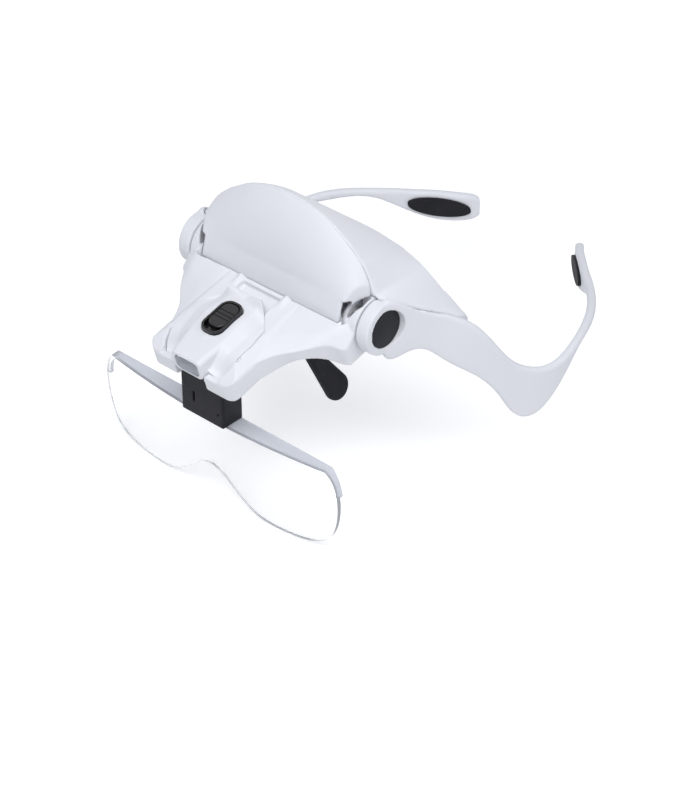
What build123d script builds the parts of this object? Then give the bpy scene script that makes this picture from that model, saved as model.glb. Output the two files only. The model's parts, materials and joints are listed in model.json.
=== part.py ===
from build123d import *
import os

# Lighted head magnifier: a visor worn on the brow, two bowed legs that grip the back of
# the head, and a swinging bracket with a battery box, a turning lamp and a lens that
# pulls out. X runs across the head, -Y is forward and +Z is up. The pieces are drawn
# about the hub axis and set down on the lens's lower edge at the end.

# Overall sizes
hub_half_spacing = 60.0
hub_radius = 13.4
leg_reach = 182.5
leg_half_spread = 94.0
leg_drop = 70.0
visor_half_width = 52.0
crest_height = 48.3
lens_half_width = 75.0
lens_height = 47.0

# Walls and clearances
wall = 2.0
overrun = 40.0
running_gap = 0.08
joint_gap = 0.4
seat_gap = 0.1

# Hubs and pivots
seam_x = 53.0
ring_inner_x = 45.2
ring_width = 7.1
ring_radius = 13.2
end_wall_x = 42.0
end_wall_thickness = 2.5
end_wall_radius = 11.0
washer_thickness = 0.5
washer_radius = 8.5
pivot_radius = 5.0
pivot_end_x = 55.6
pivot_head_radius = 7.0
pivot_head_thickness = 1.6
socket_end_x = 55.9

# Hub buttons
button_radius = 9.4
button_thickness = 1.3
button_crown = 0.7
button_crown_share = 0.75
button_stem_radius = 2.0
button_stem_end_x = 56.6
button_well_x = 57.0
button_gap = 0.2
spring_washer_radius = 4.6
spring_washer_height = 0.5

# Visor
band_front_y = -14.6
band_bottom_z = 2.2
band_top_y = -11.6
band_top_z = 14.0
dome_bulge = 3.6
dome_end_slant = 27.5
dome_end_x = 51.0
panel_thickness = 2.4
panel_set_back = 0.3
shelf_thickness = 2.4
shelf_crown = 1.0
wing_row_count = 7
floor_thickness = 1.8
boss_radius = 3.0
boss_length = 12.0
boss_x = 24.0
boss_z = 24.0
screw_radius = 1.2
screw_reach = 5.5
screw_head_radius = 2.2
screw_head_height = 1.4
end_slot_inner_x = 43.2
end_slot_outer_x = 46.4
arm_passage_z = 9.4
end_slot_top_z = 13.2
end_slot_depth = 8.0

# Leg pads
leg_thickness = 4.6
leg_corner = 2.1
pad_length = 34.0
pad_height = 10.2
pad_proud = 1.0
pad_sunk = 0.9
pad_rows = (6, 4, 2)
leg_root_x = 56.5

# Nose rest
lug_half_width = 9.0
lug_front_y = -6.0
lug_bottom_z = -4.0
stem_half_width = 6.0
stem_thickness = 3.0
stem_drop = 30.0
crossbar_half_width = 12.0
crossbar_height = 5.0
pad_top_radius = 3.2
pad_foot_radius = 7.0
pad_foot_back = 14.0
pad_foot_drop = 26.0
nose_pad_thickness = 4.4
nose_pad_lean = 11.0
nose_pad_edge = 1.6

# Bracket, drawn level in its own frame and tilted by the deck's slope
deck_slope = 14.0
deck_top = 8.6
box_bottom = -7.4
box_half_width = 26.8
box_rear = 14.6
box_front = 69.4
box_corner = 7.0
box_edge = 2.4
box_fall_run = 58.0
box_fall_level = 2.4
box_shoulder_x = 21.6
box_shoulder_level = 4.6
arm_crown = 0.5
arm_undercut = 0.6
peak_x = 14.4
peak_half_width = 2.4
peak_height = 1.8
peak_run = 9.0
flip_up = 24.0
sweep_steps = 6
recess_half_width = 12.0
recess_front = 31.0
recess_rear = 17.0
recess_floor = 6.1

# Batteries and their bay
cell_count = 3
cell_radius = 5.2
cell_length = 43.6
cell_tip_radius = 1.9
cell_tip_length = 0.9
cell_pitch = 10.9
cell_first = 21.8
cell_level = -0.3
bay_half_width = 24.4
bay_rear = 16.2
bay_front = 49.4
bay_top = 5.2
bay_bottom = -5.6
contact_thickness = 0.4
contact_size = 8.0
door_half_width = 23.2
door_rear = 18.0
door_front = 47.4
door_thickness = 1.6
door_fit = 0.2

# Top cover and switch
cover_seat = 0.8
cover_foot = -0.4
cover_bite = 0.5
cover_screw_x = 15.4
notch_depth = 1.4
notch_length = 3.2
bezel_length = 21.0
bezel_width = 12.4
bezel_wall = 1.1
bezel_corner = 5.2
bezel_proud = 0.7
switch_centre = 43.2
switch_top = 12.6
switch_depth = 5.2
knob_length = 15.4
knob_height = 2.6
knob_grip_count = 3
board_length = 15.6
board_width = 20.0
board_thickness = 1.0
board_level = 6.4

# Nose of the cover, with the lamp, and the scoops at its sides
nose_rear = 50.0
nose_start = 56.4
nose_middle = 60.0
nose_front = 69.6
nose_half_rear = 12.0
nose_half_middle = 10.4
nose_half_front = 9.0
nose_top_rear = 11.6
nose_top_middle = 10.9
nose_top_front = 9.7
nose_bottom = -0.9
nose_corner = 2.4
nose_wall = 1.5
scoop_half_width = 18.2
scoop_lip = 2.0
window_half_width = 6.9
window_low = 0.3
window_high = 8.2
window_thickness = 1.2
window_corner = 2.0
led_radius = 2.3
led_length = 4.2
led_half_spacing = 3.3
led_run = 62.4
led_level = 4.2

# Lens holder and lens
holder_half_width = 13.4
holder_front_y = -60.0
holder_rear_y = -46.8
holder_bottom_z = -46.8
neck_half_width = 9.2
neck_gap = 0.3
neck_rear = 57.4
sight_slot_x = -5.2
sight_slot_z = -36.7
sight_slot_height = 5.8
sight_slot_width = 1.1
sight_hole_x = 10.4
sight_hole_z = -40.0
sight_hole_radius = 0.6
holder_wall = 2.0
holder_edge = 1.0
lens_thickness = 2.2
lens_front_y = -57.0
lens_top_z = -47.9
lens_bow_radius = 460.0
lens_lean = 3.0
brim_rear_y = -46.8
brim_thickness = 1.8
brim_reach_share = 0.3
tab_half_width = 9.0
tab_height = 14.0
catch_height = 9.0

# Shares of the crest arch: across by half width and up by crest height
crest_shares = [
    (0.0, 1.0), (0.29, 0.962), (0.525, 0.872), (0.735, 0.728), (0.885, 0.575), (0.97, 0.41), (1.0, 0.305),
]
# Shares of the shelf: across by half width, then ridge back and up, rim back and up
shelf_shares = [
    (0.0, 0.0, 1.0, 0.414, 0.683), (0.10, 0.0, 0.996, 0.421, 0.679), (0.20, 0.0, 0.983, 0.449, 0.662),
    (0.29, 0.0, 0.962, 0.488, 0.634), (0.41, 0.0, 0.926, 0.567, 0.573), (0.525, 0.0, 0.872, 0.645, 0.502),
    (0.735, 0.0, 0.728, 0.720, 0.400), (0.885, 0.0, 0.575, 0.738, 0.331), (0.97, 0.0, 0.41, 0.742, 0.294),
    (1.02, 0.01, 0.305, 0.746, 0.261), (1.096, 0.04, 0.285, 0.754, 0.199),
    (1.175, 0.165, 0.225, 0.766, 0.128), (1.258, 0.345, 0.125, 0.818, 0.021),
    (1.333, 0.560, 0.005, 0.853, -0.083), (1.408, 0.745, -0.110, 0.886, -0.176),
]
# Shares of the leg: out from its root, reach, top and bottom by drop
leg_shares = [
    (0.035, 0.000, 0.186, -0.205), (0.168, 0.076, 0.117, -0.245), (0.360, 0.159, -0.010, -0.385),
    (0.584, 0.235, -0.165, -0.565), (0.754, 0.297, -0.405, -0.790), (0.870, 0.349, -0.560, -0.985),
    (0.947, 0.388, -0.615, -1.000), (1.003, 0.432, -0.640, -0.925), (0.982, 0.542, -0.603, -0.680),
    (0.784, 0.657, -0.576, -0.650), (0.413, 0.767, -0.601, -0.676), (0.185, 0.815, -0.612, -0.752),
    (-0.035, 0.857, -0.622, -0.830), (-0.248, 0.902, -0.637, -0.885), (-0.453, 0.948, -0.665, -0.905),
    (-0.560, 0.977, -0.690, -0.900), (-0.618, 0.993, -0.725, -0.870),
]
# Shares of an arm: across by its outer face, rear and front by box front, then rear top,
# front top and bottom by deck top
arm_shares = [
    (0.44, 0.211, 0.815, 1.00, 0.60, -0.80), (0.535, 0.211, 0.693, 0.99, 0.55, -0.70),
    (0.63, 0.211, 0.576, 0.955, 0.50, -0.40), (0.765, 0.211, 0.462, 0.895, 0.46, -0.35),
    (0.88, 0.187, 0.345, 0.84, 0.30, -1.00), (0.955, 0.112, 0.305, 0.80, 0.00, -1.30),
    (1.0, 0.094, 0.270, 0.78, -0.10, -1.42),
]
# Shares of the half plan of the cover: across by box half width, run by box front
cover_plan_shares = [
    (0.30, 0.351), (0.724, 0.524), (0.770, 0.662), (0.762, 0.822), (0.735, 0.905), (0.655, 0.951),
]
# Shares of the cover's top: run by box front, crown up, shoulder across and up, valley across
# and up, edge up; across by box half width and up by deck top
cover_shares = [
    (0.340, 1.30, 0.26, 1.27, 0.40, 1.12, 1.05), (0.432, 1.41, 0.32, 1.37, 0.50, 1.13, 1.05),
    (0.547, 1.46, 0.35, 1.41, 0.58, 1.12, 1.05), (0.662, 1.47, 0.36, 1.42, 0.60, 1.12, 1.05),
    (0.763, 1.42, 0.36, 1.34, 0.58, 1.05, 1.03), (0.822, 1.32, 0.36, 1.18, 0.56, 0.90, 0.98),
    (0.878, 1.10, 0.36, 0.80, 0.54, 0.46, 0.80), (0.928, 0.80, 0.36, 0.45, 0.52, 0.14, 0.44),
    (0.978, 0.60, 0.36, 0.35, 0.52, 0.16, 0.30),
]
# Shares of the half lens outline: across by half width, down by height
lens_shares = [
    (0.0, -0.590), (0.066, -0.615), (0.152, -0.715), (0.245, -0.845), (0.377, -0.965), (0.54, -1.0),
    (0.76, -0.975), (0.905, -0.875), (0.975, -0.680), (1.0, -0.430), (0.985, -0.170), (0.925, 0.0),
]


def block(x_low, x_high, y_low, y_high, z_low, z_high):
    size = (x_high - x_low, y_high - y_low, z_high - z_low)
    centre = ((x_high + x_low) / 2, (y_high + y_low) / 2, (z_high + z_low) / 2)
    return Pos(*centre) * Box(*size)


def rod(radius, x_from, x_to):
    """Round bar along X on the hub axis."""
    middle = (x_from + x_to) / 2
    return Pos(middle, 0, 0) * Rot(0, 90, 0) * Cylinder(radius, x_to - x_from)


def upright(radius, x, y, z_low, z_high):
    return Pos(x, y, (z_low + z_high) / 2) * Cylinder(radius, z_high - z_low)


def both_sides(solid):
    return solid + mirror(solid, Plane.YZ)


def tilted(solid):
    """Deck frame to the level frame."""
    return Rot(deck_slope, 0, 0) * solid


def mid_point(start, end, bulge):
    """Middle of two points in a YZ plane, moved to the left of their direction."""
    along = end - start
    left = Vector(0, -along.Z, along.Y).normalized()
    return (start + end) * 0.5 + left * bulge


def closed_wire(curve_points, back_points):
    """A spline through the first points, closed by straight runs through the others."""
    curve = Edge.make_spline(curve_points)
    corners = [curve_points[-1], *back_points, curve_points[0]]
    lines = [Edge.make_line(a, b) for a, b in zip(corners, corners[1:])]
    return Wire([curve, *lines])


def polygon_wire(points):
    corners = [*points, points[0]]
    return Wire([Edge.make_line(a, b) for a, b in zip(corners, corners[1:])])


def rounded_face(points, radius):
    """A face through the points with every corner rounded."""
    face = make_face(Polyline(*points, close=True))
    return fillet(face.vertices(), radius)


def mirrored_stations(wires_of, shares, straight):
    """Sections from the left end to the right, the first share on the middle plane."""
    right = [wires_of(row, 1) for row in shares]
    left = [wires_of(row, -1) for row in reversed(shares[1:])]
    return Solid.make_loft([*left, *right], straight)


# Visor
def dome_envelope(inset, rear_y):
    """The dome's outer form, drawn in by a wall; its rear face stands at rear_y."""

    def station(row, side):
        x = side * row[0] * visor_half_width
        crest = Vector(x, 0, row[1] * crest_height - inset)
        lip = Vector(x, band_top_y + inset, band_top_z - inset * 0.5)
        foot = Vector(x, band_front_y + inset, band_bottom_z)
        bulge = dome_bulge * (row[1] - crest_shares[-1][1])
        curve = [lip, mid_point(lip, crest, bulge), crest]
        floor_z = band_bottom_z + (floor_thickness if inset > 0 else inset)
        foot = Vector(x, foot.Y, floor_z)
        back = [Vector(x, rear_y + joint_gap, crest.Z), Vector(x, rear_y + joint_gap, floor_z), foot]
        return closed_wire(curve, back)

    body = mirrored_stations(station, crest_shares, False)
    body = body & block(-overrun * 2, overrun * 2, -overrun, rear_y, -overrun, overrun * 2)
    half = block(0, overrun, -overrun * 2, overrun * 2, -overrun * 2, overrun * 2)
    cheek = Pos(dome_end_x - inset, 0, 0) * Rot(0, 0, -dome_end_slant) * half
    return body - both_sides(cheek)


def ring_room(clearance):
    """Space round each hub axis that the bracket's rings turn in."""
    outer = rod(ring_radius + clearance, ring_inner_x - clearance, seam_x)
    inner = rod(end_wall_radius + clearance, end_wall_x - clearance, seam_x)
    return both_sides(outer + inner)


def pivot_head_room():
    radius = pivot_head_radius + seat_gap
    return both_sides(rod(radius, end_wall_x - pivot_head_thickness - seat_gap, end_wall_x))


def boss_bar(radius, reach):
    """Bar along Y through a screw boss of the dome, reaching both ways from its rear face."""
    return Pos(boss_x, 0, boss_z) * Rot(90, 0, 0) * Cylinder(radius, reach * 2)


def end_slots(gap):
    """The slot at each end of the dome's band, lower beside it where the arm passes."""
    rear = band_front_y + end_slot_depth - gap
    inner = end_slot_inner_x + gap
    slot = block(inner, end_slot_outer_x - gap, -overrun, rear, -overrun, end_slot_top_z - gap)
    passage = block(inner, overrun * 2, -overrun, rear, -overrun, arm_passage_z - gap)
    return both_sides(slot + passage)


def dome_shell():
    shell = dome_envelope(0, 0) - dome_envelope(wall, overrun / 4)
    shell = shell + (both_sides(boss_bar(boss_radius, boss_length)) & dome_envelope(seat_gap, 0))
    shell = shell - both_sides(boss_bar(screw_radius, screw_reach))
    shell = shell - end_slots(0)
    return shell - ring_room(joint_gap) - pivot_head_room()


def shelf_corners(row, side):
    x = side * row[0] * visor_half_width
    ridge = Vector(x, row[1] * crest_height + seat_gap, row[2] * crest_height)
    rim = Vector(x, row[3] * crest_height, row[4] * crest_height)
    return ridge, mid_point(ridge, rim, shelf_crown), rim, Vector(0, 0, shelf_thickness)


def shelf():
    """The brow shelf, from leg root to leg root."""

    def station(row, side):
        ridge, middle, rim, drop = shelf_corners(row, side)
        return closed_wire([ridge, middle, rim], [rim - drop, ridge - drop])

    return mirrored_stations(station, shelf_shares, True)


def shelf_keepout():
    """Room for the shelf's end, left open inward so that the leg can slide off outward."""
    wires = []
    rows = [shelf_corners(row, 1) for row in shelf_shares[-wing_row_count:]]
    edges = [rows[0][0] - Vector(0, joint_gap * 2, 0)] + [row[0] for row in rows]
    edges.append(Vector(rows[-1][2].X, rows[-1][2].Y + joint_gap, rows[-1][2].Z))
    for edge in edges:
        low = edge.Z - shelf_thickness - joint_gap
        out = edge.X + joint_gap
        inner = seam_x - wall
        corners = [Vector(inner, edge.Y, low), Vector(out, edge.Y, low)]
        corners += [Vector(out, edge.Y, overrun), Vector(inner, edge.Y, overrun)]
        wires.append(polygon_wire(corners))
    return Solid.make_loft(wires, True)


def back_panel():
    arch = [Vector(s * visor_half_width, 0, h * crest_height - shelf_thickness / 2) for s, h in crest_shares]
    left = [Vector(-p.X, 0, p.Z) for p in reversed(arch[1:])]
    curve = Edge.make_spline([*left, *arch])
    base = [Vector(visor_half_width, 0, band_bottom_z), Vector(-visor_half_width, 0, band_bottom_z)]
    corners = [arch[-1], *base, left[0]]
    lines = [Edge.make_line(a, b) for a, b in zip(corners, corners[1:])]
    face = Face(Wire([curve, *lines]))
    plate = Solid.extrude(face, Vector(0, panel_thickness, 0))
    return Pos(0, panel_set_back, 0) * plate


def visor_frame():
    """Back panel and shelf, cut for the bracket's rings, with the hub walls and nose lug."""
    reach = ring_radius + joint_gap
    end = end_wall_x + end_wall_thickness
    ring_slot = block(end, seam_x, -overrun, reach, -overrun, reach)
    frame = (back_panel() + shelf()) - both_sides(ring_slot)
    half = lug_half_width
    lug = block(-half, half, lug_front_y, panel_thickness, lug_bottom_z, band_bottom_z - seat_gap)
    root = block(-half, half, seat_gap, panel_thickness, lug_bottom_z, band_bottom_z + wall)
    foot = block(end_wall_x, end, seat_gap, panel_thickness, 0, end_wall_radius + wall)
    frame = frame + lug + root + both_sides(rod(end_wall_radius, end_wall_x, end) + foot)
    frame = frame - both_sides(rod(pivot_radius + seat_gap, end_wall_x - wall, seam_x)) - pivot_head_room()
    return frame - both_sides(boss_bar(screw_radius + seat_gap, panel_thickness * 2))


def dome_screws():
    """Screws through the back panel into the bosses."""
    shank = boss_bar(screw_radius - seat_gap, screw_reach - joint_gap)
    rear = panel_set_back + panel_thickness + seat_gap
    front = block(0, overrun, -overrun, rear, 0, overrun)
    centre = rear + screw_head_height / 2
    head = Pos(boss_x, centre, boss_z) * Rot(90, 0, 0) * Cylinder(screw_head_radius, screw_head_height)
    return both_sides((shank & front) + head)


def pivot():
    pin = rod(pivot_radius, end_wall_x, pivot_end_x)
    head = rod(pivot_head_radius, end_wall_x - pivot_head_thickness, end_wall_x)
    return pin + head


def friction_washer():
    low = end_wall_x + end_wall_thickness + seat_gap
    ring = rod(washer_radius, low, low + washer_thickness)
    return ring - rod(pivot_radius + seat_gap, low - wall, low + wall)


# Nose rest
def nose_stem():
    low = lug_bottom_z - stem_drop
    front = lug_front_y + seat_gap
    stem = block(-stem_half_width, stem_half_width, front, front + stem_thickness, low, lug_bottom_z)
    bar = block(
        -crossbar_half_width, crossbar_half_width, front, front + stem_thickness, low, low + crossbar_height
    )
    return stem + bar


def nose_pad():
    top = Vector(0, lug_front_y + stem_thickness, lug_bottom_z - stem_drop + crossbar_height / 2)
    plane = Plane(origin=top, x_dir=(0, 1, 0), z_dir=(1, 0, 0))
    big = Pos(pad_foot_back, -pad_foot_drop) * Circle(pad_foot_radius)
    small = Circle(pad_top_radius)
    outline = make_hull([*big.edges(), *small.edges()])
    pad = extrude(plane * outline, nose_pad_thickness / 2, both=True)
    pad = fillet(pad.edges(), nose_pad_edge)
    hung = Pos(top) * Rot(0, -nose_pad_lean, 0) * Pos(-top) * pad
    hung = Pos(crossbar_half_width + nose_pad_thickness / 2 + seat_gap, 0, 0) * hung
    front = lug_front_y - wall
    return hung - block(0, crossbar_half_width + seat_gap, front, front + overrun, top.Z - overrun, overrun)


# Legs
def leg_point(row):
    out, back, top, bottom = row
    x = leg_root_x + out * (leg_half_spread - leg_root_x)
    return Vector(x, back * leg_reach, (top + bottom) / 2 * leg_drop)


def leg_wire(row, path_direction):
    height = (row[2] - row[3]) * leg_drop
    across = path_direction.cross(Vector(0, 0, 1))
    plane = Plane(origin=leg_point(row), x_dir=across, z_dir=path_direction)
    return (plane * RectangleRounded(leg_thickness, height, leg_corner)).face().outer_wire()


def leg_band():
    points = [leg_point(row) for row in leg_shares]
    flat = [Vector(p.X, p.Y, 0) for p in points]
    before = [flat[0], *flat[:-1]]
    after = [*flat[1:], flat[-1]]
    wires = [leg_wire(row, (b - a).normalized()) for row, a, b in zip(leg_shares, before, after)]
    return Solid.make_loft(wires, False)


def leg_pad():
    front, centre, rear = [leg_point(leg_shares[-i]) for i in pad_rows]
    along = (rear - front).normalized()
    inward = Vector(-along.Y, along.X, 0).normalized()
    centre = centre + inward * (leg_thickness / 2 - pad_sunk)
    plane = Plane(origin=centre, x_dir=along, z_dir=inward)
    return extrude(plane * Ellipse(pad_length / 2, pad_height / 2), pad_sunk + pad_proud)


def leg():
    hub = rod(hub_radius, seam_x, hub_half_spacing)
    body = hub + leg_band()
    body = body - block(seam_x - overrun, seam_x, -overrun, overrun * 2, -overrun * 2, overrun)
    body = body - shelf_keepout()
    body = body - rod(button_radius + button_gap, button_well_x, overrun * 3)
    body = body - rod(pivot_radius + running_gap, seam_x - wall, socket_end_x)
    body = body - rod(button_stem_radius + running_gap, seam_x, hub_half_spacing)
    return body - leg_pad()


def hub_button():
    inner_x = hub_half_spacing - button_thickness
    crown_x = hub_half_spacing + button_crown
    rim = (hub_half_spacing, button_radius)
    middle = (hub_half_spacing + button_crown * button_crown_share, button_radius / 2)
    crown = ThreePointArc((crown_x, 0), middle, rim)
    rest = Polyline(
        rim, (inner_x, button_radius), (inner_x, button_stem_radius), (button_stem_end_x, button_stem_radius),
        (button_stem_end_x, 0), (crown_x, 0),
    )
    return revolve(make_face([*crown.edges(), *rest.edges()]), Axis.X)


def spring_washer():
    ring = rod(spring_washer_radius, button_well_x, button_well_x + spring_washer_height)
    return ring - rod(button_stem_radius + joint_gap, seam_x, hub_half_spacing)


# Bracket
def deck(x, run):
    return (x, -run)


def arm():
    """One arm of the yoke, lofted outward from the box to its ring."""
    wires = []
    for across, rear, front, rear_top, front_top, bottom in arm_shares:
        x = across * (ring_inner_x + ring_width)
        back = Vector(x, -rear * box_front, rear_top * deck_top)
        fore = Vector(x, -front * box_front, front_top * deck_top)
        middle = (back + fore) * 0.5 + Vector(0, 0, arm_crown)
        low_back = Vector(x, back.Y, bottom * deck_top)
        low_fore = Vector(x, fore.Y + arm_undercut, bottom * deck_top)
        wires.append(polygon_wire([low_back, back, middle, fore, low_fore]))
    return Solid.make_loft(wires, False)


def box_body():
    """The box as the meeting of its front view, its side view and its plan."""
    right = [(box_half_width, box_bottom), (box_half_width, box_shoulder_level), (box_shoulder_x, deck_top)]
    left = [(-x, z) for x, z in reversed(right)]
    front = rounded_face([*right, *left], box_edge)
    body = Plane.XZ * extrude(front, overrun * 2, both=True)
    low, high = box_bottom - seat_gap, deck_top + seat_gap
    slope = [(-box_fall_run, high), (-box_front, box_fall_level)]
    side = rounded_face([(overrun, low), (overrun, high), *slope, (-box_front, low)], box_edge)
    body = body & (Plane.YZ * extrude(side, overrun, both=True))
    half = box_half_width + seat_gap
    corners = [(half, overrun), (half, -box_front), (-half, -box_front), (-half, overrun)]
    plan = rounded_face(corners, box_corner)
    body = body & (Pos(0, 0, -overrun) * extrude(plan, overrun * 2, dir=(0, 0, 1)))
    return body & block(-overrun, overrun, -overrun * 2, -box_rear, -overrun, overrun)


def peaks():
    """The two raised points of the yoke beside the dome."""
    wires = []
    for run, height in ((box_rear, peak_height), (box_rear + peak_run, 0)):
        inner, outer = peak_x - peak_half_width, peak_x + peak_half_width
        top = Vector(peak_x, -run, deck_top + height + seat_gap)
        foot = [Vector(inner, -run, recess_floor), Vector(outer, -run, recess_floor)]
        wires.append(polygon_wire([*foot, Vector(outer, -run, deck_top), top, Vector(inner, -run, deck_top)]))
    return both_sides(Solid.make_loft(wires, True))


def cover_face(gap, level):
    """Plan of the cover, with its rear and front edges also moved out by the gap."""
    last = len(cover_plan_shares) - 1
    points = []
    for i, (across, run) in enumerate(cover_plan_shares):
        shift = {0: -gap, last: gap}.get(i, 0)
        points.append(deck(box_half_width * across + gap, box_front * run + shift))
    left = [(-x, y) for x, y in reversed(points)]
    return Pos(0, 0, level) * make_face(Polyline(*points, *left, close=True))


def cover_room(gap):
    """What the cover takes of the box: a shallow seat and a deeper pocket in front."""
    seat = extrude(cover_face(gap, deck_top - cover_seat - gap), overrun, dir=(0, 0, 1))
    pocket = extrude(cover_face(gap, cover_foot - gap), overrun, dir=(0, 0, 1))
    front = block(-overrun, overrun, -overrun * 2, -nose_start + gap, -overrun, overrun)
    return seat + (pocket & front)


def nose_block(gap, high):
    """The cover's nose, from the switch down to the window."""
    wires = []
    for run, half, top in (
        (nose_rear, nose_half_rear, nose_top_rear), (nose_middle, nose_half_middle, nose_top_middle),
        (nose_front + gap, nose_half_front, nose_top_front),
    ):
        low = nose_bottom - gap
        top = top + high
        plane = Plane(origin=(0, -run, (low + top) / 2), x_dir=(1, 0, 0), z_dir=(0, -1, 0))
        wires.append((plane * RectangleRounded((half + gap) * 2, top - low, nose_corner)).face().outer_wire())
    return Solid.make_loft(wires, False)


def nose_room(gap):
    front = block(-overrun, overrun, -overrun * 2, -nose_start + gap, -overrun, overrun)
    return nose_block(gap, overrun / 2) & front


def switch_room():
    """Room for the board under the switch, cut through the deck into the bay."""
    half = board_width / 2 + joint_gap
    low = -switch_centre - board_length / 2 - joint_gap
    high = -switch_centre + board_length / 2 + joint_gap
    return block(-half, half, low, high, bay_top - wall, overrun)


def cover_screw_places():
    run = cell_first + cell_pitch * 1.5
    return [(side * cover_screw_x, -run) for side in (-1, 1)]


def bracket_shell():
    rings = both_sides(rod(ring_radius, ring_inner_x, ring_inner_x + ring_width))
    shell = box_body() + both_sides(arm()) + rings + peaks()
    shell = shell - block(-bay_half_width, bay_half_width, -bay_front, -bay_rear, bay_bottom, bay_top)
    shell = shell - block(
        -door_half_width, door_half_width, -door_front, -door_rear, box_bottom - wall, bay_bottom + wall
    )
    half = recess_half_width
    shell = shell - block(-half, half, -recess_front, -recess_rear, recess_floor, overrun)
    shell = shell - switch_room() - cover_room(seat_gap) - nose_room(joint_gap)
    lip = block(-scoop_half_width, scoop_half_width, -overrun * 2, -nose_middle, scoop_lip, overrun)
    shell = shell - lip
    neck = neck_half_width + neck_gap
    shell = shell - block(-neck, neck, -overrun * 2, -neck_rear + neck_gap, -overrun, nose_bottom)
    notch_x = box_half_width * cover_plan_shares[-3][0]
    notch_rear = notch_length / 2 - nose_start
    notch = block(
        notch_x, notch_x + notch_depth, notch_rear - notch_length, notch_rear, deck_top - notch_depth, overrun
    )
    shell = shell - both_sides(notch)
    shell = shell - both_sides(rod(pivot_radius + running_gap, ring_inner_x - wall, seam_x))
    for x, y in cover_screw_places():
        shell = shell - upright(screw_radius + seat_gap, x, y, 0, overrun)
    return tilted(shell) - dome_sweep()


def dome_sweep():
    """The dome grown by a clearance, turned through the bracket's travel."""
    low = band_bottom_z - joint_gap
    dome = dome_envelope(-joint_gap, 0) & block(-overrun * 2, overrun * 2, -overrun, 0, low, overrun * 2)
    dome = dome - end_slots(joint_gap)
    swept = dome
    for step in range(1, sweep_steps + 1):
        swept = swept + Rot(flip_up * step / sweep_steps, 0, 0) * dome
    return swept


def battery_door():
    half = door_half_width - door_fit
    front, rear = door_fit - door_front, -door_rear - door_fit
    plate = block(-half, half, front, rear, box_bottom, box_bottom + door_thickness)
    return tilted(plate)


def cell_runs():
    return [cell_first + cell_pitch * i for i in range(cell_count)]


def batteries():
    cells = None
    for i, run in enumerate(cell_runs()):
        way = 1 if i % 2 else -1
        body = Rot(0, 90, 0) * Cylinder(cell_radius, cell_length)
        tip_x = way * (cell_length + cell_tip_length) / 2
        tip = Pos(tip_x, 0, 0) * Rot(0, 90, 0) * Cylinder(cell_tip_radius, cell_tip_length)
        cell = Pos(0, -run, cell_level) * (body + tip)
        cells = cell if cells is None else cells + cell
    return tilted(cells)


def battery_contacts():
    plates = None
    for run in cell_runs():
        for side in (-1, 1):
            x = side * (bay_half_width - contact_thickness / 2)
            plate = Pos(x, -run, cell_level) * Box(contact_thickness, contact_size, contact_size)
            x_coil = side * (bay_half_width - contact_thickness - cell_tip_length / 2)
            coil = Pos(x_coil, -run, cell_level) * Rot(0, 90, 0) * Cylinder(cell_tip_radius, cell_tip_length)
            piece = plate + coil
            plates = piece if plates is None else plates + piece
    return tilted(plates)


def cover_lump():
    """The cover's top surface: a crown round the switch, falling into a scoop at each side."""
    wires = []
    for run, crown, shoulder_x, shoulder, valley_x, valley, edge in cover_shares:
        y = -run * box_front
        points = [(1, edge), (valley_x, valley), (shoulder_x, shoulder)]
        right = [Vector(across * box_half_width, y, up * deck_top) for across, up in points]
        left = [Vector(-v.X, v.Y, v.Z) for v in reversed(right)]
        foot = [Vector(side * box_half_width, y, cover_foot - wall) for side in (-1, 1)]
        wires.append(polygon_wire([*right, Vector(0, y, crown * deck_top), *left, *foot]))
    return Solid.make_loft(wires, False)


def top_cover():
    cover = (cover_lump() & cover_room(0)) + (nose_block(0, 0) & (cover_room(0) + nose_room(0)))
    half = board_width / 2 - wall
    room = block(
        -half, half, -switch_centre - board_length / 2, -switch_centre + board_length / 2,
        deck_top - overrun, deck_top + cover_bite,
    )
    cover = cover - room - bezel_block(seat_gap) - lamp_room()
    for x, y in cover_screw_places():
        cover = cover - upright(screw_radius, x, y, 0, deck_top + cover_bite)
    return tilted(cover)


def bezel_block(gap):
    outline = RectangleRounded(bezel_width + gap * 2, bezel_length + gap * 2, bezel_corner)
    high = switch_top + bezel_proud
    return Pos(0, -switch_centre, high - switch_depth) * extrude(outline, switch_depth)


def switch_bezel():
    bezel = bezel_block(0)
    width, length = bezel_width - bezel_wall * 2, bezel_length - bezel_wall * 2
    inner = RectangleRounded(width, length, bezel_corner - bezel_wall)
    well = Pos(0, -switch_centre, switch_top + bezel_proud - knob_height) * extrude(inner, overrun)
    return tilted(bezel - well)


def switch_knob():
    width = bezel_width - bezel_wall * 2 - joint_gap * 2
    outline = RectangleRounded(width, knob_length, bezel_corner - bezel_wall - joint_gap)
    low = switch_top + bezel_proud - knob_height + seat_gap
    y = -switch_centre + (bezel_length - bezel_wall * 2 - joint_gap * 2 - knob_length) / 2
    knob = Pos(0, y, low) * extrude(outline, knob_height)
    knob = fillet(knob.faces().sort_by(Axis.Z)[-1].edges(), bezel_proud)
    for i in range(knob_grip_count):
        shift = (i - (knob_grip_count - 1) / 2) * bezel_wall * 2
        groove = Pos(0, y + shift, low + knob_height) * Box(width, bezel_proud, bezel_proud)
        knob = knob - groove
    return tilted(knob)


def circuit_board():
    board = Pos(0, -switch_centre, board_level) * Box(board_width, board_length, board_thickness)
    return tilted(board)


def switch_body():
    high = switch_top + bezel_proud - switch_depth
    low = board_level + board_thickness / 2
    half = bezel_width / 2 - bezel_wall
    front, rear = -switch_centre - knob_length / 2, -switch_centre + knob_length / 2
    return tilted(block(-half, half, front, rear, low, high))


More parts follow.
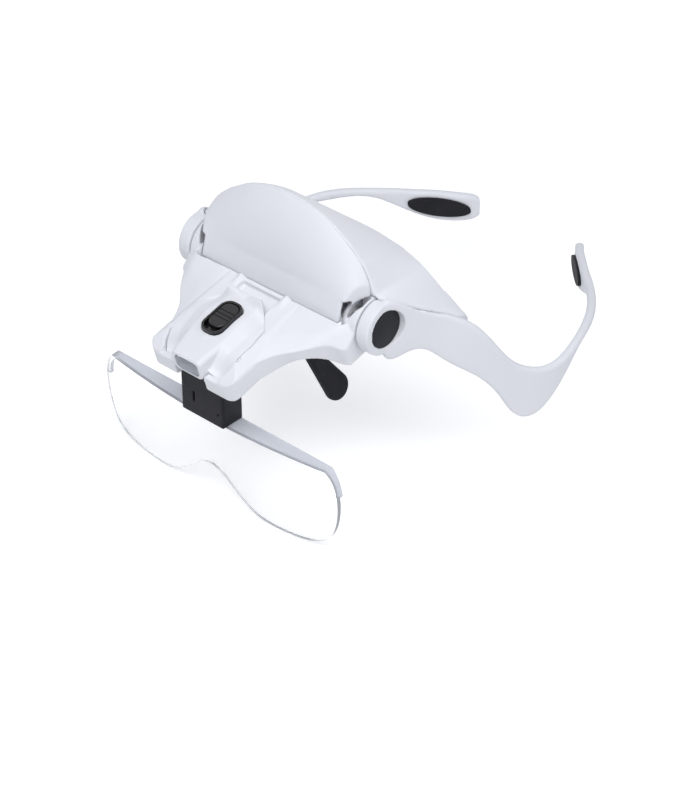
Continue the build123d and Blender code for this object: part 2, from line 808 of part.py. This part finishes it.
def cover_screws():
    screws = None
    for x, y in cover_screw_places():
        shank = upright(screw_radius - seat_gap, x, y, bay_top, deck_top + cover_bite - seat_gap)
        head = upright(screw_head_radius, x, y, bay_top - screw_head_height, bay_top)
        screws = shank + head if screws is None else screws + shank + head
    return tilted(screws)


# Lamp
def window_outline(gap):
    """The window's face in the deck frame, seen from the front."""
    width = (window_half_width + gap) * 2
    height = window_high - window_low + gap * 2
    plane = Plane(origin=(0, 0, (window_high + window_low) / 2), x_dir=(1, 0, 0), z_dir=(0, -1, 0))
    return plane * RectangleRounded(width, height, window_corner)


def window_bar(gap, from_run, to_run):
    return Pos(0, -from_run, 0) * extrude(window_outline(gap), to_run - from_run, dir=(0, -1, 0))


def lamp_room():
    return window_bar(seat_gap, nose_start + nose_wall, nose_front + overrun)


def lamp_window():
    return tilted(window_bar(0, nose_front - window_thickness, nose_front))


def lamp_board():
    return tilted(window_bar(0, led_run - board_thickness, led_run))


def lamp_leds():
    lamps = None
    shoulder = -led_run - led_length + led_radius
    for side in (-1, 1):
        x = side * led_half_spacing
        stalk = Rot(90, 0, 0) * Cylinder(led_radius, -shoulder - led_run)
        stalk = Pos(x, (shoulder - led_run) / 2, led_level) * stalk
        dome = Pos(x, shoulder, led_level) * Sphere(led_radius)
        led = stalk + (dome & block(-overrun, overrun, shoulder - overrun, shoulder, -overrun, overrun))
        lamps = led if lamps is None else lamps + led
    return tilted(lamps)


# Lens holder and lens
def lens_holder():
    body = block(-holder_half_width, holder_half_width, holder_front_y, holder_rear_y, holder_bottom_z, 0)
    body = fillet(body.edges().filter_by(Axis.Z), holder_edge)
    above = tilted(block(-overrun, overrun, -overrun * 3, overrun, box_bottom, overrun * 2))
    half, high = neck_half_width, nose_bottom - seat_gap
    neck = block(-half, half, -overrun * 2, -neck_rear, box_bottom - wall, high)
    neck = tilted(neck) & block(-overrun, overrun, holder_front_y, overrun, -overrun, overrun)
    holder = (body - above) + neck
    half = tab_half_width + joint_gap
    front, back = lens_front_y - joint_gap, lens_front_y + lens_thickness + joint_gap
    slot = block(-half, half, front, back, holder_bottom_z - wall, lens_top_z + tab_height + joint_gap)
    half = holder_half_width - holder_wall
    low, high = holder_bottom_z + holder_wall, holder_bottom_z + tab_height
    hollow = block(-half, half, back + holder_wall, holder_rear_y + wall, low, high)
    depth = (lens_front_y - holder_front_y) * 2
    sight = Pos(sight_slot_x, holder_front_y, sight_slot_z) * Box(sight_slot_width, depth, sight_slot_height)
    hole = Rot(90, 0, 0) * Cylinder(sight_hole_radius, depth)
    hole = Pos(sight_hole_x, holder_front_y, sight_hole_z) * hole
    return holder - slot - hollow - sight - hole


def lens_catch():
    """A leaf spring on the back of the tongue's slot."""
    front = lens_front_y + lens_thickness + joint_gap + holder_wall + seat_gap
    half = tab_half_width / 3
    low = holder_bottom_z + holder_wall
    return block(-half, half, front, front + contact_thickness, low, low + catch_height)


def lens_face(inset):
    half = lens_half_width - inset
    height = lens_height - inset
    points = [Vector(across * half, 0, down * height) for across, down in lens_shares]
    points[-1] = points[-1] - Vector(0, 0, inset)
    left = [Vector(-v.X, 0, v.Z) for v in reversed(points[1:])]
    curve = Edge.make_spline([*left, *points])
    return Face(Wire([curve, Edge.make_line(points[-1], left[0])]))


def lens_prism(inset):
    """The outline carried through, from before the bow to behind the brim."""
    return Pos(0, -overrun / 4, 0) * Solid.extrude(lens_face(inset), Vector(0, overrun, 0))


def bow(radius):
    return Pos(0, lens_bow_radius, -lens_height / 2) * Cylinder(radius, lens_height * 3)


def lens():
    plate = (lens_prism(0) & bow(lens_bow_radius)) - bow(lens_bow_radius - lens_thickness)
    brim = (lens_prism(0) - lens_prism(brim_thickness)) & bow(lens_bow_radius - lens_thickness / 2)
    half, low = lens_half_width * 2, -lens_height * brim_reach_share
    keep = block(-half, half, -overrun, brim_rear_y - lens_front_y, low, overrun)
    body = plate + (brim & keep)
    body = Pos(0, lens_front_y, lens_top_z) * Rot(lens_lean, 0, 0) * body
    half, rear = tab_half_width, lens_front_y + lens_thickness
    tab = block(-half, half, lens_front_y, rear, lens_top_z - brim_thickness, lens_top_z + tab_height)
    return body + tab


def nodes():
    right_leg, right_pad = leg(), leg_pad()
    made = {
        "visor_frame": visor_frame(),
        "visor_dome": dome_shell(),
        "dome_screws": dome_screws(),
        "nose_stem": nose_stem(),
        "bracket_shell": bracket_shell(),
        "battery_door": battery_door(),
        "batteries": batteries(),
        "battery_contacts": battery_contacts(),
        "top_cover": top_cover(),
        "cover_screws": cover_screws(),
        "circuit_board": circuit_board(),
        "switch_body": switch_body(),
        "switch_bezel": switch_bezel(),
        "switch_knob": switch_knob(),
        "lamp_window": lamp_window(),
        "lamp_board": lamp_board(),
        "lamp_leds": lamp_leds(),
        "lens_holder": lens_holder(),
        "lens_catch": lens_catch(),
        "lens": lens(),
    }
    paired = {
        "leg": right_leg,
        "leg_pad": right_pad,
        "hub_button": hub_button(),
        "spring_washer": spring_washer(),
        "hub_pivot": pivot(),
        "friction_washer": friction_washer(),
        "nose_pad": nose_pad(),
    }
    for name, solid in paired.items():
        made[name + "_left"] = solid
        made[name + "_right"] = mirror(solid, Plane.YZ)
    return made


def main():
    made = nodes()
    whole = Compound(children=[Compound(solid.solids()) for solid in made.values()])
    box = whole.bounding_box()
    down = Vector(0, -(box.min.Y + box.max.Y) / 2, -box.min.Z)
    os.makedirs("parts", exist_ok=True)
    for name, solid in made.items():
        export_step(Pos(down) * Compound(solid.solids()), f"parts/{name}.step")
    print("hub axis", round(down.Y, 4), round(down.Z, 4), "size", box.size)


main()
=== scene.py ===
import json
import math
import bpy
from mathutils import Matrix, Vector


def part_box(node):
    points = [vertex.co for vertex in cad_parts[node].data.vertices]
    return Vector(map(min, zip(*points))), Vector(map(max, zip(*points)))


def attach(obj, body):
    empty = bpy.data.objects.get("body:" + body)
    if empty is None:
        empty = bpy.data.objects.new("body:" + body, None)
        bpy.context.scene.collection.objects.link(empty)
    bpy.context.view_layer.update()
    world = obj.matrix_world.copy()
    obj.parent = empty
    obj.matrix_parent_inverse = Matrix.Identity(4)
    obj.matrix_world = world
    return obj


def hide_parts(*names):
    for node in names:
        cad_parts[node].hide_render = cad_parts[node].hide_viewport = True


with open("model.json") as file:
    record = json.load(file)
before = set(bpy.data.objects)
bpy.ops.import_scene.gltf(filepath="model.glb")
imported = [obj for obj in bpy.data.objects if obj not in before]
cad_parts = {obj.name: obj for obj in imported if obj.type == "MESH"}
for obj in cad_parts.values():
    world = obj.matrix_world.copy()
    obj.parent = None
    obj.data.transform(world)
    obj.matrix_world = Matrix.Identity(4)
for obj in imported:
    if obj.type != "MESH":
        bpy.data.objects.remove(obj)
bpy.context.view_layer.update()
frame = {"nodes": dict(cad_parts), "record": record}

nodes = frame["nodes"]
hubLow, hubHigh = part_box("hub_pivot_left")
hubY = (hubLow.y + hubHigh.y) / 2
hubZ = (hubLow.z + hubHigh.z) / 2
print("frame loaded", len(nodes), "nodes")


def hubPoint(x, y, z):  # millimetres about the hub axis to metres in the frame
    return Vector((x / 1000, y / 1000 + hubY, z / 1000 + hubZ))


# camera, at the photograph's angle
cameraLook = {  # degrees, metres, millimetres of focal length and sensor, target about the hub axis
    "azimuth": 41.93, "elevation": 35.86, "distance": 1.23143, "target": (37.91, 0.0, -50.33),
    "focal": 118.0, "sensor": 36, "nearClip": 0.01, "farClip": 50,
}


def placeCamera(look):
    data = bpy.data.cameras.new("photoCamera")
    data.lens = look["focal"]
    data.sensor_width = look["sensor"]
    data.clip_start = look["nearClip"]
    data.clip_end = look["farClip"]
    camera = bpy.data.objects.new("photoCamera", data)
    bpy.context.scene.collection.objects.link(camera)
    around, above = math.radians(look["azimuth"]), math.radians(look["elevation"])
    level = math.cos(above)
    back = Vector((math.sin(around) * level, -math.cos(around) * level, math.sin(above)))
    right = Vector((math.cos(around), math.sin(around), 0))
    up = back.cross(right)
    turn = Matrix((right, up, back)).transposed().to_4x4()
    camera.matrix_world = Matrix.Translation(hubPoint(*look["target"]) + back * look["distance"]) @ turn
    bpy.context.scene.camera = camera


placeCamera(cameraLook)
print("camera placed")


# materials, each with a faint cloud in its colour and a fine grain in its gloss
cloudEnds = (0.3, 0.7)  # part of the noise's range that spans the two colours or glosses
grainLook = {"detail": 4.0, "rough": 0.6}
plasticIor = 1.5
coatRough = 0.06


def newMaterial(name):
    mat = bpy.data.materials.new(name)
    mat.use_nodes = True
    tree = mat.node_tree
    shader = tree.nodes["Principled BSDF"]
    return mat, tree, shader


def addNode(tree, kind, **values):
    node = tree.nodes.new(kind)
    for key, value in values.items():
        if key in node.inputs:
            node.inputs[key].default_value = value
        else:
            setattr(node, key, value)
    return node


def objectNoise(tree, scale, detail=3.0, rough=0.5):
    coords = tree.nodes.new("ShaderNodeTexCoord")
    noise = addNode(tree, "ShaderNodeTexNoise", Scale=scale, Detail=detail, Roughness=rough)
    tree.links.new(coords.outputs["Object"], noise.inputs["Vector"])
    return noise


def cloudColor(tree, cloud, look):
    ramp = tree.nodes.new("ShaderNodeValToRGB")
    for element, place, color in zip(ramp.color_ramp.elements, cloudEnds, (look["shade"], look["color"])):
        element.position = place
        element.color = (*color, 1)
    tree.links.new(cloud.outputs["Fac"], ramp.inputs["Fac"])
    return ramp.outputs["Color"]


def mapRange(tree, source, fromLow, fromHigh, toLow, toHigh):
    node = tree.nodes.new("ShaderNodeMapRange")
    for key, value in (("From Min", fromLow), ("From Max", fromHigh), ("To Min", toLow), ("To Max", toHigh)):
        node.inputs[key].default_value = value
    tree.links.new(source, node.inputs["Value"])
    return node.outputs["Result"]


def mouldedPlastic(name, look):
    mat, tree, shader = newMaterial(name)
    cloud = objectNoise(tree, look["cloudScale"])
    tree.links.new(cloudColor(tree, cloud, look), shader.inputs["Base Color"])
    grain = objectNoise(tree, look["grainScale"], **grainLook)
    rough = mapRange(tree, grain.outputs["Fac"], *cloudEnds, look["roughLow"], look["roughHigh"])
    tree.links.new(rough, shader.inputs["Roughness"])
    bump = addNode(tree, "ShaderNodeBump", Strength=look["bump"], Distance=look["bumpDepth"])
    tree.links.new(grain.outputs["Fac"], bump.inputs["Height"])
    tree.links.new(bump.outputs["Normal"], shader.inputs["Normal"])
    shader.inputs["IOR"].default_value = plasticIor
    if look.get("specular"):
        shader.inputs["Specular IOR Level"].default_value = look["specular"]
    if look.get("coat"):
        shader.inputs["Coat Weight"].default_value = look["coat"]
        shader.inputs["Coat Roughness"].default_value = coatRough
    if look.get("metal"):
        shader.inputs["Metallic"].default_value = look["metal"]
    return mat


def clearPlastic(name, look):
    mat, tree, shader = newMaterial(name)
    cloud = objectNoise(tree, look["cloudScale"])
    tree.links.new(cloudColor(tree, cloud, look), shader.inputs["Base Color"])
    rough = mapRange(tree, cloud.outputs["Fac"], *cloudEnds, look["roughLow"], look["roughHigh"])
    tree.links.new(rough, shader.inputs["Roughness"])
    shader.inputs["Transmission Weight"].default_value = 1.0
    shader.inputs["IOR"].default_value = look["ior"]
    return mat


def lensPlastic(name, look):  # clear face; the brim and the thin edges are slightly frosted, and their grey colour is a painted reflection, standing in for the darker look a clear plate's rims get from what they reflect
    mat = clearPlastic(name, look)
    tree = mat.node_tree
    shader = tree.nodes["Principled BSDF"]
    coords = tree.nodes.new("ShaderNodeTexCoord")
    parts = tree.nodes.new("ShaderNodeSeparateXYZ")
    facing = addNode(tree, "ShaderNodeMath", operation="ABSOLUTE")
    tree.links.new(coords.outputs["Normal"], parts.inputs["Vector"])
    tree.links.new(parts.outputs["Y"], facing.inputs[0])
    mask = mapRange(tree, facing.outputs[0], look["edgeFrom"], look["edgeTo"], 0.0, 1.0)
    faceColor = shader.inputs["Base Color"].links[0].from_socket
    # the rims' colour is a painted grey standing in for their reflections; their higher roughness and lower
    # clarity are the real frost
    color = addNode(tree, "ShaderNodeMix", data_type="RGBA")
    color.inputs[6].default_value = (*look["edgePaintedReflectionGrey"], 1)  # sockets 6, 7 and 2 are its two colours and result
    tree.links.new(mask, color.inputs[0])
    tree.links.new(faceColor, color.inputs[7])
    tree.links.new(color.outputs[2], shader.inputs["Base Color"])
    rough = mapRange(tree, mask, 0.0, 1.0, look["edgeRough"], look["roughLow"])
    tree.links.new(rough, shader.inputs["Roughness"])
    clear = mapRange(tree, mask, 0.0, 1.0, look["edgeClear"], 1.0)
    tree.links.new(clear, shader.inputs["Transmission Weight"])
    return mat


whiteLook = {
    "color": (0.80, 0.81, 0.84), "shade": (0.77, 0.78, 0.815), "cloudScale": 22.0, "grainScale": 1400.0,
    "roughLow": 0.42, "roughHigh": 0.54, "bump": 0.08, "bumpDepth": 0.0001, "specular": 0.4,
}
blackLook = {
    "color": (0.016, 0.016, 0.02), "shade": (0.011, 0.011, 0.014), "cloudScale": 60.0, "grainScale": 2600.0,
    "roughLow": 0.42, "roughHigh": 0.6, "bump": 0.25, "bumpDepth": 0.0002, "specular": 0.15,
}
glossLook = {
    "color": (0.009, 0.009, 0.011), "shade": (0.006, 0.006, 0.008), "cloudScale": 90.0, "grainScale": 900.0,
    "roughLow": 0.12, "roughHigh": 0.2, "bump": 0.02, "bumpDepth": 0.0001, "coat": 0.3, "specular": 0.3,
}
rubberLook = {
    "color": (0.02, 0.02, 0.023), "shade": (0.014, 0.014, 0.017), "cloudScale": 80.0, "grainScale": 3200.0,
    "roughLow": 0.6, "roughHigh": 0.78, "bump": 0.35, "bumpDepth": 0.0002, "specular": 0.15,
}
steelLook = {
    "color": (0.62, 0.62, 0.63), "shade": (0.5, 0.5, 0.51), "cloudScale": 120.0, "grainScale": 1800.0,
    "roughLow": 0.22, "roughHigh": 0.36, "bump": 0.05, "bumpDepth": 0.0001, "metal": 1.0,
}
boardLook = {
    "color": (0.03, 0.12, 0.06), "shade": (0.02, 0.09, 0.04), "cloudScale": 200.0, "grainScale": 2200.0,
    "roughLow": 0.35, "roughHigh": 0.5, "bump": 0.1, "bumpDepth": 0.0001,
}
jacketLook = {
    "color": (0.08, 0.09, 0.1), "shade": (0.06, 0.065, 0.075), "cloudScale": 90.0, "grainScale": 1200.0,
    "roughLow": 0.25, "roughHigh": 0.35, "bump": 0.05, "bumpDepth": 0.0001,
}
ledLook = {
    "color": (0.93, 0.93, 0.86), "shade": (0.9, 0.9, 0.8), "cloudScale": 300.0, "grainScale": 1200.0,
    "roughLow": 0.08, "roughHigh": 0.14, "bump": 0.02, "bumpDepth": 0.0001, "coat": 0.4,
}
lensLook = {
    "color": (0.985, 0.99, 0.995), "shade": (0.965, 0.97, 0.98), "cloudScale": 14.0,
    "roughLow": 0.0, "roughHigh": 0.012, "ior": 1.28,
    # edge colour: a painted grey for the rims' reflections, laid over their frost
    "edgePaintedReflectionGrey": (0.72, 0.74, 0.79), "edgeRough": 0.16, "edgeClear": 0.45, "edgeFrom": 0.6, "edgeTo": 0.75,
}
windowLook = {
    "color": (0.78, 0.8, 0.84), "shade": (0.72, 0.74, 0.78), "cloudScale": 120.0,
    "roughLow": 0.0, "roughHigh": 0.015, "ior": 1.12,
}

slotMaterials = {
    "white_plastic": mouldedPlastic("visorWhite", whiteLook),
    "cover_white": mouldedPlastic("coverWhite", whiteLook),
    "leg_white": mouldedPlastic("legWhite", whiteLook),
    "black_plastic": mouldedPlastic("holderBlack", blackLook),
    "knob_black": mouldedPlastic("switchBlack", glossLook),
    "soft_rubber": mouldedPlastic("padRubber", rubberLook),
    "lens_clear": lensPlastic("lensClear", lensLook),
    "window_clear": clearPlastic("windowClear", windowLook),
    "steel": mouldedPlastic("pinSteel", steelLook),
    "spring_steel": mouldedPlastic("springSteel", steelLook),
    "board_green": mouldedPlastic("boardResin", boardLook),
    "cell_jacket": mouldedPlastic("cellJacket", jacketLook),
    "led_clear": mouldedPlastic("ledClear", ledLook),
}
slotOf = {row["node"]: row["material_slot"] for row in frame["record"]["subparts"]}
bodyOf = {name: body for body, names in frame["record"]["behaviour"]["bodies"].items() for name in names}
for name, piece in nodes.items():
    piece.data.materials.clear()
    piece.data.materials.append(slotMaterials[slotOf[name]])
print("materials assigned")


# moulded pieces: the CAD form with the softened edges of an injection moulding
legLook = {"voxel": 0.55, "rounds": 12, "kept": 0.5, "seat": 10.8}
nosePadLook = {"voxel": 0.4, "rounds": 4, "kept": 0.6}
mouldedLooks = {  # voxel in millimetres, rounds of softening, share of faces kept, radius of a crisp cap seat
    "visor_frame": {"voxel": 0.6, "rounds": 14, "kept": 0.5},
    "visor_dome": {"voxel": 0.5, "rounds": 14, "kept": 0.5},
    "bracket_shell": {"voxel": 0.4, "rounds": 12, "kept": 0.5},
    "top_cover": {"voxel": 0.3, "rounds": 12, "kept": 0.6},
    "leg_left": legLook,
    "leg_right": legLook,
    "lens_holder": {"voxel": 0.3, "rounds": 3, "kept": 0.6},
    "nose_pad_left": nosePadLook,
    "nose_pad_right": nosePadLook,
    "nose_stem": {"voxel": 0.35, "rounds": 4, "kept": 0.6},
}
softenShare = 0.5  # how far a point moves in one round of softening


def bakeModifiers(piece):
    graph = bpy.context.evaluated_depsgraph_get()
    mesh = bpy.data.meshes.new_from_object(piece.evaluated_get(graph))
    piece.modifiers.clear()
    piece.data = mesh
    return mesh


def outsideSeat(mesh, radius):  # points further from the hub axis than the seat under the cap
    return [v.index for v in mesh.vertices if math.hypot(v.co.y - hubY, v.co.z - hubZ) > radius / 1000]


def mouldedPiece(name, look):
    piece = bpy.data.objects.new(name + "_moulded", nodes[name].data.copy())
    bpy.context.scene.collection.objects.link(piece)
    remesh = piece.modifiers.new("remesh", "REMESH")
    remesh.mode = "VOXEL"
    remesh.voxel_size = look["voxel"] / 1000
    remesh.use_smooth_shade = True
    mesh = bakeModifiers(piece)
    free = list(range(len(mesh.vertices)))
    if "seat" in look:  # its corners stay crisp, so that the cap can be pressed
        free = outsideSeat(mesh, look["seat"])
    piece.vertex_groups.new(name="softened").add(free, 1.0, "REPLACE")
    soften = piece.modifiers.new("soften", "SMOOTH")
    soften.factor = softenShare
    soften.iterations = look["rounds"]
    soften.vertex_group = "softened"
    thin = piece.modifiers.new("thin", "DECIMATE")
    thin.ratio = look["kept"]
    mesh = bakeModifiers(piece)
    mesh.shade_smooth()
    mesh.materials.clear()
    mesh.materials.append(slotMaterials[slotOf[name]])
    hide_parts(name)
    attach(piece, bodyOf[name])
    return len(mesh.polygons)


for name, look in mouldedLooks.items():
    print("moulded", name, mouldedPiece(name, look), "faces")


# floor, lamps and world
floorLook = {  # metres, the reaches from the middle of the floor
    "size": 8, "drop": 0.0006, "color": (0.9, 0.9, 0.9), "rough": 0.9, "glow": (1.0, 1.0, 1.0),
    "nearGlow": 0.42, "farGlow": 1.0, "nearReach": 0.3, "farReach": 1.3,
}
worldLook = {"color": (0.86, 0.9, 1.0), "strength": 0.4, "seenColor": (1.0, 1.0, 1.0), "seenStrength": 1.0}
lampAim = (0, 20, -20)  # as the places, in millimetres about the hub axis
lampLooks = [
    {"name": "topLamp", "at": (200, -420, 850), "size": 0.8, "power": 6.1, "color": (1.0, 1.0, 1.0)},
    {"name": "rightLamp", "at": (800, 60, 520), "size": 0.7, "power": 1.5, "color": (1.0, 1.0, 1.0)},
]


def seenRays(tree):  # camera, glossy and transmission rays see the plain background
    path = tree.nodes.new("ShaderNodeLightPath")
    first = addNode(tree, "ShaderNodeMath", operation="MAXIMUM")
    second = addNode(tree, "ShaderNodeMath", operation="MAXIMUM")
    tree.links.new(path.outputs["Is Camera Ray"], first.inputs[0])
    tree.links.new(path.outputs["Is Glossy Ray"], first.inputs[1])
    tree.links.new(first.outputs[0], second.inputs[0])
    tree.links.new(path.outputs["Is Transmission Ray"], second.inputs[1])
    return second.outputs[0]


def makeFloor(look):
    bpy.ops.mesh.primitive_plane_add(size=look["size"], location=(0, 0, -look["drop"]))
    floor = bpy.context.object
    floor.name = "floor"
    mat, tree, shader = newMaterial("floorPaper")
    shader.inputs["Base Color"].default_value = (*look["color"], 1)
    shader.inputs["Roughness"].default_value = look["rough"]
    shader.inputs["Emission Color"].default_value = (*look["glow"], 1)
    coords = tree.nodes.new("ShaderNodeTexCoord")
    reach = addNode(tree, "ShaderNodeVectorMath", operation="LENGTH")
    tree.links.new(coords.outputs["Object"], reach.inputs[0])
    ends = [look[key] for key in ("nearReach", "farReach", "nearGlow", "farGlow")]
    away = mapRange(tree, reach.outputs["Value"], *ends)
    glow = addNode(tree, "ShaderNodeMath", operation="MULTIPLY")
    tree.links.new(seenRays(tree), glow.inputs[0])
    tree.links.new(away, glow.inputs[1])
    tree.links.new(glow.outputs[0], shader.inputs["Emission Strength"])
    floor.data.materials.append(mat)


def makeWorld(look):
    world = bpy.data.worlds.new("studioWorld")
    bpy.context.scene.world = world
    world.use_nodes = True
    tree = world.node_tree
    background = tree.nodes["Background"]
    background.inputs["Color"].default_value = (*look["color"], 1)
    background.inputs["Strength"].default_value = look["strength"]
    seenColor = (*look["seenColor"], 1)
    plain = addNode(tree, "ShaderNodeBackground", Color=seenColor, Strength=look["seenStrength"])
    mix = tree.nodes.new("ShaderNodeMixShader")
    tree.links.new(seenRays(tree), mix.inputs[0])
    tree.links.new(background.outputs[0], mix.inputs[1])
    tree.links.new(plain.outputs[0], mix.inputs[2])
    tree.links.new(mix.outputs[0], tree.nodes["World Output"].inputs["Surface"])


def makeLamp(look):
    data = bpy.data.lights.new(look["name"], "AREA")
    data.shape = "DISK"
    data.size = look["size"]
    data.energy = look["power"]
    data.color = look["color"]
    lamp = bpy.data.objects.new(look["name"], data)
    bpy.context.scene.collection.objects.link(lamp)
    place = hubPoint(*look["at"])
    aim = hubPoint(*lampAim) - place
    lamp.matrix_world = Matrix.Translation(place) @ aim.to_track_quat("-Z", "Y").to_matrix().to_4x4()


makeFloor(floorLook)
makeWorld(worldLook)
for lampLook in lampLooks:
    makeLamp(lampLook)
bpy.context.scene.view_settings.view_transform = "Standard"
print("stage lit")
